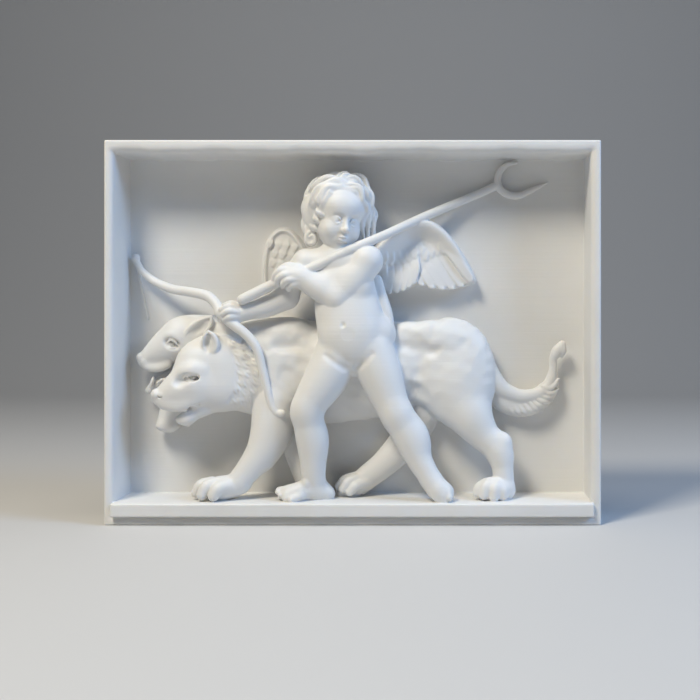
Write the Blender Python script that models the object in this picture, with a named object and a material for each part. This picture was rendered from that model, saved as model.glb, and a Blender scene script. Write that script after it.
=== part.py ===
"""Angel relief: a cast plaque on which a winged child walks beside a many-headed hound.

Lengths are in millimetres. A place on the relief is (x, z, h): x to the right of the middle,
z up from the foot, and h out from the ground, which is the flat field behind the figures.
"""

import math

import bmesh
import bpy
from mathutils import Matrix, Vector

MM = 0.001

# The plaque
WIDTH = 200.0
HEIGHT = 155.0
DEPTH = 30.0
GROUND_THICKNESS = 4.0
FRAME_DEPTH = 23.3
SIDE_STRIP = 3.9
TOP_STRIP = 4.9
FOOT_STRIP = 3.6
LEDGE_TOP = 9.1
LEDGE_DEPTH = DEPTH - GROUND_THICKNESS
EDGE_ROUND = 0.5
LEDGE_BITE = 0.6
CUTTER_OVERRUN = 5.0

# The figures: how deep they are rooted, how far out they come, and their gap to the frame
FIGURE_ROOT = 2.0
FIGURE_DEPTH = LEDGE_DEPTH - 0.4
SIDE_GAP = 0.5
FOOT_GAP = 1.0
OUTER_CURLS = 12
INNER_CURLS = 6
MANE_LOCKS = 7
FRINGE_LOCKS = 10
LONG_FEATHERS = 7
INNER_FEATHERS = 5

# A paw of length 1: the pad, and each toe as its rise and its way out
PAD_SHIFT = 0.1
PAD_SIZE = (0.9, 0.55, 0.56)
TOES = ((-0.26, 0.36), (-0.22, 0.05), (-0.1, -0.3))
TOE_SHIFT = 0.68
TOE_SIZE = (0.36, 0.34, 0.22)

# How the lumps of clay are laid and fused
BALL_DETAIL = 2
PATH_STEPS = 3
FEATHER_STEPS = 2
FINE_STEPS = 8
LEAST_RADIUS = 0.3
VOXEL = 0.62
SOFTEN_SHARE = 0.5
SOFTEN_TIMES = 2
KEEP_FACES = 0.033

CAST_WHITE = (0.86, 0.85, 0.82, 1.0)
CAST_ROUGHNESS = 0.45


def place(x, z, h):
    """A point of the relief as a point of the part, with the middle of its depth at y = 0."""
    return Vector((x, DEPTH / 2 - GROUND_THICKNESS - h, z)) * MM


def curve_value(a, b, c, d, t):
    """The smooth curve through four values, at a share t of the way from b to c."""
    slope, bend, twist = c - a, 2 * a - 5 * b + 4 * c - d, 3 * b - a - 3 * c + d
    return 0.5 * (2 * b + slope * t + bend * t**2 + twist * t**3)


def smooth_path(points, sizes, steps=PATH_STEPS):
    """Points and sizes along the smooth curve that runs through the given ones."""
    rows = [tuple(p) + (s,) for p, s in zip(points, sizes)]
    if len(rows) < 3:
        return [(row[:3], row[3]) for row in rows]
    first = tuple(2 * a - b for a, b in zip(rows[0], rows[1]))
    last = tuple(2 * a - b for a, b in zip(rows[-1], rows[-2]))
    rows = [first] + rows + [last]
    path = []
    for i in range(1, len(rows) - 2):
        for step in range(steps):
            near = zip(rows[i - 1], rows[i], rows[i + 1], rows[i + 2])
            values = [curve_value(a, b, c, d, step / steps) for a, b, c, d in near]
            path.append((tuple(values[:3]), max(values[3], LEAST_RADIUS)))
    path.append((rows[-2][:3], rows[-2][3]))
    return path


def along(points, share):
    """The point at a share, from 0 to 1, of the smooth curve through the points."""
    path = smooth_path(points, [1.0] * len(points), FINE_STEPS)
    spot = share * (len(path) - 1)
    i = min(int(spot), len(path) - 2)
    return tuple(a + (b - a) * (spot - i) for a, b in zip(path[i][0], path[i + 1][0]))


def fan(roots, tips, count):
    """Pairs of points, evenly spread from the first root and tip to the last."""
    return [(along(roots, i / (count - 1)), along(tips, i / (count - 1))) for i in range(count)]


def bowed(root, tip, bulge):
    """The middle of a line, pushed to its side in the plane of the ground."""
    x, z, h = ((a + b) / 2 for a, b in zip(root, tip))
    dx, dz = tip[0] - root[0], tip[1] - root[1]
    length = math.hypot(dx, dz)
    return (x - dz / length * bulge, z + dx / length * bulge, h)


class Clay:
    """Closed lumps gathered in one mesh, which are fused afterwards."""

    def __init__(self):
        self.mesh = bmesh.new()
        ball = bmesh.new()
        bmesh.ops.create_icosphere(ball, subdivisions=BALL_DETAIL, radius=1.0)
        self.ball = [v.co.copy() for v in ball.verts]
        ball.free()

    def ellipsoid(self, centre, radii, turn=0.0):
        """The points of an ellipsoid with radii across, up and out, turned in the plane of the ground."""
        spin = Matrix.Rotation(-math.radians(turn), 3, "Y")
        size = Vector((radii[0], radii[2], radii[1])) * MM
        return [place(*centre) + spin @ (p * size) for p in self.ball]

    def hull(self, points):
        """Adds the convex solid around the points."""
        lump = bmesh.new()
        for p in points:
            lump.verts.new(p)
        made = bmesh.ops.convex_hull(lump, input=lump.verts)
        spare = {g for key in ("geom_interior", "geom_unused") for g in made[key]}
        inside = [g for g in spare if isinstance(g, bmesh.types.BMVert)]
        bmesh.ops.delete(lump, geom=inside, context="VERTS")
        bmesh.ops.recalc_face_normals(lump, faces=lump.faces)
        twins = {v: self.mesh.verts.new(v.co) for v in lump.verts}
        for face in lump.faces:
            self.mesh.faces.new([twins[v] for v in face.verts])
        lump.free()

    def mass(self, centre, radii, turn=0.0):
        """One ellipsoid."""
        self.hull(self.ellipsoid(centre, radii, turn))

    def limb(self, points, radii, flat=1.0):
        """A round or flattened tube through the points, with its radius at each."""
        path = smooth_path(points, radii)
        for (a, ra), (b, rb) in zip(path, path[1:]):
            start = self.ellipsoid(a, (ra, ra, ra * flat))
            self.hull(start + self.ellipsoid(b, (rb, rb, rb * flat)))

    def feather(self, points, half_widths, thickness=0.8):
        """A thin blade along the points."""
        path = smooth_path(points, half_widths, FEATHER_STEPS)
        for (a, wa), (b, wb) in zip(path, path[1:]):
            start = self.ellipsoid(a, (wa, wa, thickness))
            self.hull(start + self.ellipsoid(b, (wb, wb, thickness)))

    def to_object(self, name):
        """Turns the gathered lumps into an object."""
        mesh = bpy.data.meshes.new(name)
        self.mesh.to_mesh(mesh)
        self.mesh.free()
        thing = bpy.data.objects.new(name, mesh)
        bpy.context.scene.collection.objects.link(thing)
        return thing


def hound(clay):
    """The hound, with two heads and the muzzle of a third, walking to the left."""
    # trunk, shoulder and haunch
    clay.limb(
        [(-28.1, 62.1, 3), (-11.3, 61.7, 3), (5.5, 62.1, 3), (22.4, 63.4, 3), (35, 63.8, 3)],
        [20.2, 20.0, 19.4, 18.4, 17.6], 0.62,
    )
    clay.mass((-31, 58.3, 9), (12.5, 17.5, 7.2), -8)
    clay.mass((41.3, 60.7, 8), (13.5, 18.5, 8), 12)
    # far neck and head
    clay.limb([(-30.1, 69.7, 4), (-49, 72.6, 4), (-63.6, 73.9, 4.5)], [12, 11, 9.5], 0.7)
    clay.mass((-69.6, 74.8, 5.5), (11, 9.3, 5.5), 20)
    clay.limb(
        [(-73.7, 74.8, 6), (-79.8, 71.1, 6.5), (-86.9, 66.9, 6.5), (-89.4, 66.1, 6.5)],
        [8.5, 6.4, 3.6, 2.4], 0.8,
    )
    clay.limb([(-74.3, 60.4, 3.5), (-81.3, 57.5, 4), (-85.8, 54.6, 4.5)], [4, 2.6, 1.7], 0.8)
    clay.feather([(-70.3, 78.6, 9.5), (-64.4, 80.7, 10), (-59.8, 81.6, 10)], [1.5, 3, 1.6], 1.2)
    # muzzle of the third head
    clay.limb([(-74.4, 52, 3), (-78, 43.6, 3.6), (-79.2, 39.9, 4)], [6, 5.4, 4.4], 0.75)
    # near neck, head, jaw and ear
    clay.limb([(-29.6, 58.2, 7), (-39.9, 59.1, 8), (-50.1, 59.9, 9)], [17.5, 17, 15.8], 0.6)
    clay.mass((-58.7, 60.9, 11.5), (14.5, 15.3, 8.2), 10)
    clay.limb(
        [(-62.9, 57.3, 13), (-70.7, 54.6, 14.5), (-76.9, 51.8, 16), (-79.3, 51, 16.3)],
        [10.5, 8.0, 5.0, 3.9], 0.85,
    )
    clay.limb([(-61.4, 50.7, 12), (-67.2, 44.2, 13.6), (-71.5, 42.7, 14.6)], [5.4, 4.3, 2.4], 0.85)
    clay.mass((-58.7, 73.1, 17), (3.1, 4.4, 2.6), 8)
    clay.mass((-67.4, 62.2, 18.2), (4.2, 1.6, 1.5), 15)
    # near foreleg and paw, far foreleg
    clay.limb(
        [(-32.7, 47.3, 11), (-35, 36.3, 12.5), (-38.4, 27.8, 14), (-43.5, 21, 15.3),
         (-47.1, 16.7, 16)],
        [8.6, 7.6, 6.3, 5.1, 4.7], 0.85,
    )
    clay.limb([(-28.1, 41.1, 3.5), (-26.3, 29.8, 4), (-21.1, 15.3, 5)], [6, 5, 4.4], 0.9)
    paw(clay, (-55.8, 13.1, 17), 9.2, 8)
    # near hind leg and paw, far hind leg and paw
    clay.limb(
        [(42.5, 54.2, 10), (47.5, 41.9, 11.5), (54.4, 34.2, 12.5), (61, 31.8, 13)],
        [12, 7.4, 5.6, 4.4], 0.85,
    )
    clay.limb([(60.6, 32.6, 13), (61.4, 22.8, 13.5), (61, 14.3, 14)], [4.6, 4.2, 4.5], 0.9)
    paw(clay, (57.2, 12.4, 15.3), 7.4, 0)
    clay.limb(
        [(29.9, 50.3, 3), (25.3, 38.2, 4), (17.8, 27.9, 5), (9.9, 21.3, 6), (2.5, 15.1, 6.5)],
        [9, 7.6, 6.3, 5.3, 5], 0.8,
    )
    paw(clay, (-0.4, 12.7, 7), 7.6, 15)
    mane(clay)
    tail(clay)


def paw(clay, centre, length, turn):
    """A paw with three toes towards the left."""
    x, z, h = centre
    clay.mass((x + PAD_SHIFT * length, z, h), [size * length for size in PAD_SIZE], turn)
    for rise, out in TOES:
        spot = (x - TOE_SHIFT * length, z + rise * length, h + out * length)
        clay.mass(spot, [size * length for size in TOE_SIZE])


def mane(clay):
    """Locks that lie back from the near cheek."""
    roots = [(-49.2, 72.2, 15.6), (-46.3, 62.1, 17.6), (-49.6, 49.7, 15.5)]
    tips = [(-43, 69.3, 13.6), (-40.4, 58.7, 14.6), (-44.7, 47.1, 13.2)]
    for root, tip in fan(roots, tips, MANE_LOCKS):
        clay.limb([root, bowed(root, tip, 1.2), tip], [1.6, 1.9, 0.8], 0.8)


def tail(clay):
    """The tail, which curls up, and the fringe of hair under it."""
    clay.limb(
        [(50.9, 71.5, 7), (56.7, 61.5, 6.5), (63, 53.5, 6), (70.6, 51.4, 5.5), (77.3, 53, 5),
         (80.7, 57.6, 5), (81.9, 64.3, 5), (84, 70.2, 5), (86.1, 72.7, 5)],
        [5.2, 4.2, 3.2, 2.7, 2.6, 2.2, 1.8, 2.5, 1.5], 0.85,
    )
    roots = [(56, 58.9, 5), (63.5, 51.7, 4.6), (72.8, 50.4, 4.2), (79.9, 57.5, 4)]
    tips = [(59.8, 48.2, 3), (67, 41.8, 2.4), (78, 44.8, 2.4), (84.7, 56.6, 2.6)]
    for root, tip in fan(roots, tips, FRINGE_LOCKS):
        clay.limb([root, bowed(root, tip, -0.8), tip], [2.6, 2.3, 1.0], 0.8)


def child(clay):
    """The winged child, stepping to the right with a turned head."""
    # trunk
    clay.limb(
        [(-4.2, 101.3, 15), (-3.3, 90.6, 16), (-1.6, 81.7, 16.5), (0, 73.5, 16)],
        [11.5, 12.9, 13.7, 14.2], 0.6,
    )
    clay.mass((-2.5, 76.1, 20.5), (9.5, 8.5, 4.4))
    clay.mass((-9.9, 97.1, 19.5), (5.6, 4.8, 3.6))
    clay.mass((1.5, 97.1, 20), (5.6, 4.8, 3.6))
    # neck and shoulders
    clay.limb([(-7.1, 106.2, 15), (-6.7, 115.2, 15)], [6.2, 5.6])
    clay.limb([(-10, 106.2, 15), (-19.8, 105, 15)], [6, 6])
    clay.limb([(-3.7, 106.2, 16), (4.9, 106.1, 17)], [6, 5.8])
    # standing leg and foot
    clay.limb(
        [(-7, 68.2, 16), (-12.1, 57.6, 17.5), (-17.2, 49.2, 19), (-19.3, 43.9, 19)],
        [9, 8.6, 6.9, 6.2], 0.95,
    )
    clay.limb(
        [(-18.9, 44.8, 19), (-17.4, 34.9, 18), (-16.7, 26.2, 17), (-16.8, 17.9, 16.3),
         (-15.3, 12.8, 15)],
        [6.1, 6.2, 5.6, 5.1, 4.4], 0.95,
    )
    clay.limb(
        [(-14.5, 11.9, 14.6), (-20.8, 12.3, 17), (-26.6, 11.5, 19), (-29.7, 10.4, 20)],
        [4.2, 4.3, 3.4, 2.6], 0.95,
    )
    # stepping leg and foot
    clay.limb(
        [(7.2, 69.3, 15), (10.7, 60.1, 17), (14.4, 50.4, 18.5), (18.5, 42.4, 19.5)],
        [9.3, 8.5, 7.1, 6.5], 0.95,
    )
    clay.limb(
        [(18.5, 42.8, 19.5), (23, 34.7, 19.5), (27, 26.1, 19.5), (31.1, 18.5, 20)],
        [6.4, 6.2, 5.1, 4.3], 0.95,
    )
    clay.limb([(32.3, 16.5, 19.8), (35.2, 13.6, 22), (36.4, 11.4, 23)], [4.4, 4.5, 3.2], 0.95)
    # arm that holds the bow
    clay.limb([(-19.8, 105.4, 15), (-26.1, 98.9, 14), (-29, 91.9, 13.5)], [6.2, 5.2, 4.7])
    clay.limb([(-29, 91.5, 13.5), (-37.9, 87.4, 14.5), (-45.1, 85.7, 15.5)], [4.8, 4.3, 3.3])
    clay.mass((-49.9, 86.1, 16), (4, 3.2, 3))
    # arm that steadies the staff
    clay.limb([(5.4, 105.3, 18), (-0.5, 97.5, 20), (-7, 91.8, 20.2)], [6.2, 5.8, 5.2])
    clay.limb([(-7, 91.8, 20.2), (-15.1, 95.9, 20.2), (-22, 99.5, 20)], [5.2, 4.8, 3.9])
    clay.mass((-26.9, 100.8, 19.5), (5.2, 3.6, 3.3), 15)
    head(clay)


def head(clay):
    """A child's head: skull, cheeks, brow, nose, lips and chin, and rows of curls."""
    clay.mass((-6.4, 128.5, 13.5), (12.4, 13.4, 10))
    clay.mass((-5.2, 120.4, 17.2), (7.6, 8.2, 6.2))
    clay.mass((-9.2, 119.9, 18.5), (4, 4, 3.6))
    clay.mass((-1, 119.5, 18.5), (3.4, 4, 3.4))
    clay.mass((-4.6, 129.2, 19.4), (7.6, 4, 3.4))
    clay.limb([(-3.7, 126.1, 22), (-3.1, 121.9, 24)], [0.9, 1.4])
    clay.mass((-3.7, 116.4, 22.8), (2.2, 1.1, 1.2))
    clay.mass((-4.6, 113.2, 21.6), (2.8, 2, 2))
    outer = [
        (-17.5, 114.9, 14), (-20.2, 126.1, 12), (-15.1, 138.4, 13),
        (-2.6, 140.6, 15), (5.5, 131.8, 13), (5.3, 120.4, 11.5),
    ]
    for i in range(OUTER_CURLS):
        spot = along(outer, i / (OUTER_CURLS - 1))
        clay.mass(spot, (3.7, 2.9, 2.9), 40 + 25 * i)
    inner = [
        (-15.4, 120, 17.5), (-14, 128.8, 19), (-8.9, 134.7, 20.8), (-1.6, 135.5, 21), (3, 130.1, 18.5),
    ]
    for i in range(INNER_CURLS):
        spot = along(inner, i / (INNER_CURLS - 1))
        clay.mass(spot, (3.2, 2.4, 2.2), 20 - 20 * i)


def wings(clay):
    """The raised wing with its feathers, the low far wing, and the quiver behind the hip."""
    clay.limb(
        [(10.4, 111.2, 13), (14.9, 118.3, 12.5), (20.2, 122.4, 12), (26, 123.3, 11),
         (32.6, 121.3, 10), (38.4, 116.8, 9), (43.8, 110.2, 8), (48, 103.2, 7), (49.6, 99.5, 6.5)],
        [3, 3.2, 3.4, 3.4, 3.0, 2.6, 2.1, 1.5, 0.9], 0.8,
    )
    clay.mass((26.8, 116, 9.5), (13, 8, 3.2), 12)
    clay.mass((18.5, 110.6, 9.5), (8, 8, 2.6))
    # long feathers, from the leading edge inwards
    roots = [(40.4, 111.5, 8.2), (33.4, 110.2, 8.2), (26.7, 104.4, 8)]
    tips = [(49.2, 98.6, 5.4), (38.8, 95.7, 5.2), (27.1, 98.7, 5)]
    for root, tip in fan(roots, tips, LONG_FEATHERS):
        clay.feather([root, bowed(root, tip, 1.0), tip], [2.2, 2.5, 1.3], 0.9)
    # inner feathers, down to the back
    roots = [(24.3, 111.4, 9.2), (18.5, 111, 9.4), (12.7, 109.7, 9.6)]
    tips = [(23.8, 99.8, 7.6), (17.5, 96.1, 7.6), (10.5, 94.8, 7.8)]
    for root, tip in fan(roots, tips, INNER_FEATHERS):
        clay.feather([root, bowed(root, tip, 0.8), tip], [2.2, 2.6, 1.7], 1.0)
    clay.mass((-31.1, 109.4, 0), (8.8, 12, 3.4), -10)
    clay.limb([(10.1, 94, 9), (13.5, 81.6, 10)], [3.6, 4.2], 0.7)


def gear(clay):
    """The forked staff across the shoulder, and the bow that hangs over the hound's neck."""
    clay.limb(
        [(-45.2, 91, 19), (-31.8, 97.5, 19.3), (-17.5, 103.6, 20), (-1.3, 111.3, 20.5),
         (12.6, 117.6, 16), (28.8, 125.6, 8), (47.6, 134, 3.4), (59.4, 139.2, 2.4)],
        [2.1, 2.1, 2, 2, 1.9, 1.9, 1.8, 1.7],
    )
    clay.limb(
        [(67.5, 148.6, 1.2), (63.3, 147.7, 1.6), (59.9, 144.3, 1.8), (59.4, 139.2, 2),
         (62.4, 135.8, 2), (67.5, 134.6, 2), (73.8, 137.1, 1.8), (80.2, 140.1, 1.2)],
        [0.8, 1.1, 1.4, 1.6, 1.6, 1.5, 1.2, 0.7],
    )
    clay.limb(
        [(-93.2, 108, 2.2), (-90.5, 102.9, 2.8), (-84.9, 98.7, 4.5), (-76.8, 95.3, 7),
         (-68.5, 94, 10), (-60.8, 92.3, 13), (-56.7, 89, 15), (-54.6, 85.3, 17)],
        [1.6, 1.5, 1.7, 1.9, 2.0, 2.1, 2.1, 2.1],
    )
    clay.limb(
        [(-54.6, 85.3, 17), (-49.5, 81.3, 18), (-43.3, 76.4, 18.5), (-38.8, 70.3, 18.5),
         (-36.1, 62.1, 18), (-34.1, 53.2, 17.5), (-32.5, 47, 17.3), (-29.2, 45, 17.5)],
        [2.1, 2.1, 2, 1.9, 1.8, 1.6, 1.4, 1.2],
    )


def box(name, low, high):
    """A closed box between two corners given as (x, z, h)."""
    mesh = bpy.data.meshes.new(name)
    shape = bmesh.new()
    bmesh.ops.create_cube(shape, size=1.0)
    a, b = place(*low), place(*high)
    middle, span = (a + b) / 2, b - a
    for v in shape.verts:
        v.co = Vector((v.co.x * abs(span.x), v.co.y * abs(span.y), v.co.z * abs(span.z))) + middle
    shape.to_mesh(mesh)
    shape.free()
    thing = bpy.data.objects.new(name, mesh)
    bpy.context.scene.collection.objects.link(thing)
    return thing


def hide(thing):
    """Marks an object as a guide that is not part of the model."""
    thing.hide_render = True
    thing.display_type = "WIRE"


def cut_or_join(thing, other, operation):
    """Adds a Boolean modifier that works with the other object, and makes that one a guide."""
    step = thing.modifiers.new(operation.title(), "BOOLEAN")
    step.object = other
    step.operation = operation
    hide(other)


def frame_with_ledge():
    """The slab with its raised frame and the ledge that the figures walk on."""
    half = WIDTH / 2
    slab = box("relief", (-half, 0, -GROUND_THICKNESS), (half, HEIGHT, FRAME_DEPTH))
    recess = box(
        "recess_cutter",
        (-half + SIDE_STRIP, FOOT_STRIP, 0),
        (half - SIDE_STRIP, HEIGHT - TOP_STRIP, FRAME_DEPTH + CUTTER_OVERRUN),
    )
    cut_or_join(slab, recess, "DIFFERENCE")
    rounding = slab.modifiers.new("Edges", "BEVEL")
    rounding.width = EDGE_ROUND * MM
    rounding.segments = 1
    rounding.limit_method = "ANGLE"
    ledge = box(
        "ledge_guide",
        (-half + SIDE_STRIP - LEDGE_BITE, FOOT_STRIP, -LEDGE_BITE),
        (half - SIDE_STRIP + LEDGE_BITE, LEDGE_TOP, LEDGE_DEPTH),
    )
    cut_or_join(slab, ledge, "UNION")
    return slab


def fused_figures():
    """The child, the hound and what they carry, fused and thinned out, and cut off behind the ground."""
    clay = Clay()
    hound(clay)
    child(clay)
    wings(clay)
    gear(clay)
    figures = clay.to_object("figures_guide")
    fuse = figures.modifiers.new("Fuse", "REMESH")
    fuse.mode = "VOXEL"
    fuse.voxel_size = VOXEL * MM
    soften = figures.modifiers.new("Soften", "SMOOTH")
    soften.factor = SOFTEN_SHARE
    soften.iterations = SOFTEN_TIMES
    thin = figures.modifiers.new("Thin", "DECIMATE")
    thin.ratio = KEEP_FACES
    inner = WIDTH / 2 - SIDE_STRIP - SIDE_GAP
    top = HEIGHT - TOP_STRIP - SIDE_GAP
    room = box("room_guide", (-inner, FOOT_STRIP + FOOT_GAP, -FIGURE_ROOT), (inner, top, FIGURE_DEPTH))
    cut_or_join(figures, room, "INTERSECT")
    return figures


def cast_material():
    """White casting material."""
    cast = bpy.data.materials.new("white_cast")
    cast.use_nodes = True
    finish = cast.node_tree.nodes["Principled BSDF"]
    finish.inputs["Base Color"].default_value = CAST_WHITE
    finish.inputs["Roughness"].default_value = CAST_ROUGHNESS
    finish.inputs["Metallic"].default_value = 0.0
    return cast


def main():
    """Empties the scene and builds the relief."""
    for thing in list(bpy.data.objects):
        bpy.data.objects.remove(thing)
    relief = frame_with_ledge()
    cut_or_join(relief, fused_figures(), "UNION")
    relief.data.materials.append(cast_material())


main()
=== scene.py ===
"""The relief in its finished form: one cast piece, its material, floor, light and camera."""
from math import cos, hypot, pi, radians, sin, sqrt
import bmesh
import bpy
import numpy as np
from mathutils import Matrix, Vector


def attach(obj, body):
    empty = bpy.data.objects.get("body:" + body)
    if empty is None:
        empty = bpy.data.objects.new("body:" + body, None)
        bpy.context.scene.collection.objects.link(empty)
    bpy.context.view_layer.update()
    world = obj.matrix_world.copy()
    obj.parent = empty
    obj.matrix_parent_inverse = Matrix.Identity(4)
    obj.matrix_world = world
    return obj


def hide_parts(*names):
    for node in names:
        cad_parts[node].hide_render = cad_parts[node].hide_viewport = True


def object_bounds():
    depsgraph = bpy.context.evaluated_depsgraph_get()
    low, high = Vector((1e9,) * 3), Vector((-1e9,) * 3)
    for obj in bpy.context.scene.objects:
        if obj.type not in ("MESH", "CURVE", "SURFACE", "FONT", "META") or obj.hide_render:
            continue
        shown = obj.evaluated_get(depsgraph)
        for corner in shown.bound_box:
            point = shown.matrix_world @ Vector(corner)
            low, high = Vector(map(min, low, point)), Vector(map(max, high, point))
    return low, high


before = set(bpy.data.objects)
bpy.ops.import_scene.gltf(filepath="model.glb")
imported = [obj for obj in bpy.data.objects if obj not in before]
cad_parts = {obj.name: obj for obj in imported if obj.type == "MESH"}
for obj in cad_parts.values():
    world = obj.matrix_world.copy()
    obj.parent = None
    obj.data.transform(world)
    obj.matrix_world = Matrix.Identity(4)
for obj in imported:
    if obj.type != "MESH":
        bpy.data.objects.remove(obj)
low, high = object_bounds()

FAR = np.float32(50.0)

class Field:
    """Signed distances on a grid of x, z and height above the ground, in mm."""
    def __init__(self, low, high, step):
        self.step = step
        self.low = np.array(low, float)
        self.size = np.ceil((np.array(high, float) - self.low) / step).astype(int) + 1
        self.d = np.full(self.size, FAR, np.float32)
        self.axes = [(self.low[i] + step * np.arange(self.size[i])).astype(np.float32) for i in range(3)]

    def grid(self):
        return [v.reshape([-1 if j == i else 1 for j in range(3)]) for i, v in enumerate(self.axes)]

    def window(self, low, high):
        """The part of the grid near a box, and its coordinates."""
        cuts, coords = [], []
        for i in range(3):
            a = int(max(0, np.floor((low[i] - self.low[i]) / self.step)))
            b = int(min(self.size[i], np.ceil((high[i] - self.low[i]) / self.step) + 1))
            if b <= a:
                return None, None
            cuts.append(slice(a, b))
            shape = [1, 1, 1]
            shape[i] = b - a
            coords.append(self.axes[i][a:b].reshape(shape))
        return tuple(cuts), coords

    def blend_in(self, cuts, b, blend, sign):
        """Keeps the lesser distance (sign 1) or the greater (sign -1), with a fillet."""
        a = self.d[cuts]
        h = np.maximum(blend - np.abs(a - b), 0) / blend if blend > 0 else 0
        edge = np.minimum if sign > 0 else np.maximum
        self.d[cuts] = edge(a, b) - sign * h * h * (blend * .25)

    def apply(self, shape, blend, sign):
        margin = 1.2 * blend + 2.5 * self.step + .3
        low, high = shape.bounds()
        cuts, c = self.window(low - margin, high + margin)
        if cuts is not None:
            self.blend_in(cuts, sign * shape.dist(*c).astype(np.float32), blend, sign)

    def join(self, shape, blend=0):
        self.apply(shape, blend, 1)

    def carve(self, shape, blend=0):
        self.apply(shape, blend, -1)

    def tube(self, places, blend, *form, **named):
        self.join(Limb([at(*p) for p in places], *form, **named), blend)

    def groove(self, places, blend, *form, **named):
        self.carve(Limb([at(*p) for p in places], *form, **named), blend)

    def mound(self, place, blend, *form):
        self.join(Mass(at(*place), *form), blend)

    def dent(self, place, blend, *form):
        self.carve(Mass(at(*place), *form), blend)

    def merge(self, other, blend=0):
        """Joins a field with the same step, whose corners fall on this one's."""
        off = np.rint((other.low - self.low) / self.step).astype(int)
        lo = np.maximum(off, 0)
        hi = np.minimum(off + other.size, self.size)
        cuts = tuple(slice(a, b) for a, b in zip(lo, hi))
        ocuts = tuple(slice(a - o, b - o) for a, b, o in zip(lo, hi, off))
        self.blend_in(cuts, other.d[ocuts], blend, 1)

class Limb:
    """A tube through points with a radius at each, flattened in depth by flat."""
    def __init__(self, points, radii, flat=1.0, steps=5):
        pts, rad = smooth_path(points, radii, steps)
        self.p, self.r, self.flat = pts, rad, flat

    def bounds(self):
        r = self.r[:, None]
        return (self.p - r).min(0), (self.p + r).max(0)

    def dist(self, X, Z, H):
        out = None
        f = self.flat
        for a, b, ra, rb in zip(self.p[:-1], self.p[1:], self.r[:-1], self.r[1:]):
            ba = (b - a) / (1, 1, f)
            bb = float(ba @ ba) + 1e-9
            slope = min(max((rb - ra) / bb ** .5, -.9), .9)
            dx, dz, dh = X - a[0], Z - a[1], (H - a[2]) / f
            t = (dx * ba[0] + dz * ba[1] + dh * ba[2]) / bb
            if slope:
                off = np.sqrt(np.maximum(dx * dx + dz * dz + dh * dh - t * t * bb, 0))
                t = t + off * (slope / (bb * (1 - slope * slope)) ** .5)
            t = np.clip(t, 0, 1)
            d = np.sqrt((dx - t * ba[0]) ** 2 + (dz - t * ba[1]) ** 2 + (dh - t * ba[2]) ** 2)
            d = d - (ra + t * (rb - ra))
            out = d if out is None else np.minimum(out, d)
        return out * (f if f < 1 else 1.0) ** .5

class Ribbon:
    """A flat blade along points: half widths, thickness, and a sideways slope in depth."""
    def __init__(self, points, widths, thick, slope=0, steps=4):
        pts, wid = smooth_path(points, widths, steps)
        self.p, self.w, self.t, self.slope = pts, wid, thick, slope

    def bounds(self):
        m = self.w[:, None] + self.t
        return (self.p - m).min(0), (self.p + m).max(0)

    def dist(self, X, Z, H):
        near = None
        for a, b, wa, wb in zip(self.p[:-1], self.p[1:], self.w[:-1], self.w[1:]):
            ba = b - a
            bb = ba[0] ** 2 + ba[1] ** 2 + 1e-9
            dx, dz = X - a[0], Z - a[1]
            t = np.clip((dx * ba[0] + dz * ba[1]) / bb, 0, 1)
            lat = np.sqrt((dx - t * ba[0]) ** 2 + (dz - t * ba[1]) ** 2)
            side = np.where(ba[0] * dz - ba[1] * dx < 0, -lat, lat)
            now = (lat, side, wa + t * (wb - wa), a[2] + t * ba[2])
            if near is None:
                near = now
            else:
                closer = lat < near[0]
                near = tuple(np.where(closer, n, o) for n, o in zip(now, near))
        lat, side, w, h0 = near
        over = np.maximum(lat - np.maximum(w - self.t, 0), 0)
        return np.sqrt(over ** 2 + (H - h0 - self.slope * side) ** 2) - np.minimum(self.t, w)

class Mass:
    """An ellipsoid with radii along its own axes, the columns of turn."""
    def __init__(self, centre, radii, turn=None):
        self.c = np.array(centre, float)
        self.r = np.array(radii, float)
        self.R = np.eye(3) if turn is None else (spin(turn) if np.isscalar(turn) else np.array(turn,
            float))

    def bounds(self):
        e = np.sqrt(((self.R * self.r) ** 2).sum(1))
        return self.c - e, self.c + e

    def dist(self, X, Z, H):
        dx, dz, dh = X - self.c[0], Z - self.c[1], H - self.c[2]
        R, r = self.R, self.r
        k0 = 0
        k1 = 0
        for j in range(3):
            u = dx * R[0, j] + dz * R[1, j] + dh * R[2, j]
            k0 = k0 + (u / r[j]) ** 2
            k1 = k1 + (u / r[j] ** 2) ** 2
        k0 = np.sqrt(k0)
        k1 = np.sqrt(k1) + 1e-6
        return k0 * (k0 - 1.0) / k1

class Block:
    """A box with rounded edges."""
    def __init__(self, low, high, round=0):
        self.lo, self.hi, self.round = np.array(low, float), np.array(high, float), round

    def bounds(self):
        return self.lo, self.hi

    def dist(self, X, Z, H):
        c, h = (self.lo + self.hi) / 2, (self.hi - self.lo) / 2 - self.round
        q = [np.abs(P - c[i]) - h[i] for i, P in enumerate((X, Z, H))]
        out = np.sqrt(sum(np.maximum(v, 0) ** 2 for v in q))
        return out + np.minimum(np.maximum(np.maximum(q[0], q[1]), q[2]), 0) - self.round

def spin(degrees, i=0, j=1):
    """A turn that carries axis i towards axis j."""
    a = np.radians(degrees)
    out = np.eye(3)
    out[i, i] = out[j, j] = np.cos(a)
    out[j, i], out[i, j] = np.sin(a), -np.sin(a)
    return out

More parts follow.
